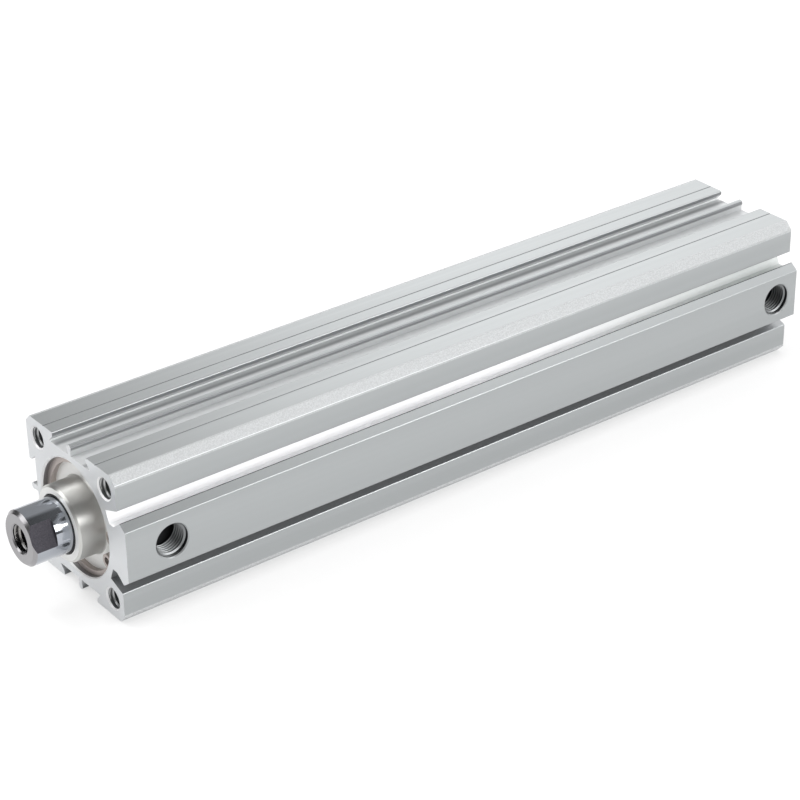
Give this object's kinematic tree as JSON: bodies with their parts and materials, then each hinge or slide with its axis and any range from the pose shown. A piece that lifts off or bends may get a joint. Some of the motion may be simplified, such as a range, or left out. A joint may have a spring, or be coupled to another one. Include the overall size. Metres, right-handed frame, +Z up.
{
  "type": "pneumatic cylinder",
  "caption": "Long compact pneumatic cylinder: square extruded tube with sensor channels, raised port pad, tapped ends and a sliding rod with wrench flats and a thread.",
  "frame": {"origin": "centre of the rod-end mounting face of the tube, on the bore axis", "axes": "+X out along the rod, +Y towards the side with the ports, +Z up"},
  "size_m": [0.2625, 0.0485, 0.045],
  "materials": {
    "anodised_aluminium": "clear anodised extrusion, satin, with fine lines along its length",
    "machined_aluminium": "turned, anodised, satin",
    "chrome_plate": "hard chrome, ground and polished",
    "bearing_bronze": "bearing bronze, turned",
    "spring_steel": "phosphated spring steel",
    "zinc_steel": "zinc plated steel",
    "nitrile_rubber": "black, smooth",
    "urethane_rubber": "dark grey, smooth",
    "guide_resin": "filled bearing resin, tan",
    "bonded_magnet": "bonded ferrite, dark grey"
  },
  "bodies": {
    "barrel": {"cylinder_tube": "anodised_aluminium", "rod_cover": "machined_aluminium", "rod_bush": "bearing_bronze", "rod_seal": "nitrile_rubber", "rod_cover_o_ring": "nitrile_rubber", "rod_retaining_ring": "spring_steel", "head_cover": "machined_aluminium", "head_cover_o_ring": "nitrile_rubber", "head_retaining_ring": "spring_steel"},
    "piston_rings": {"piston_seal": "nitrile_rubber", "wear_ring": "guide_resin"},
    "rod": {"piston_rod": "chrome_plate", "piston_front": "machined_aluminium", "piston_rear": "machined_aluminium", "magnet_ring": "bonded_magnet", "piston_o_ring": "nitrile_rubber", "piston_washer": "zinc_steel", "piston_nut": "zinc_steel", "rod_side_bumper": "urethane_rubber", "head_side_bumper": "urethane_rubber"}
  },
  "joints": [
    {"name": "rod_slide", "type": "slide", "parent": "barrel", "child": "piston_rings", "axis": [1, 0, 0], "range_m": [0, 0.2]},
    {"name": "rod_turn", "type": "hinge", "parent": "piston_rings", "child": "rod", "pos_m": [0, 0, 0], "axis": [1, 0, 0], "continuous": true}
  ]
}
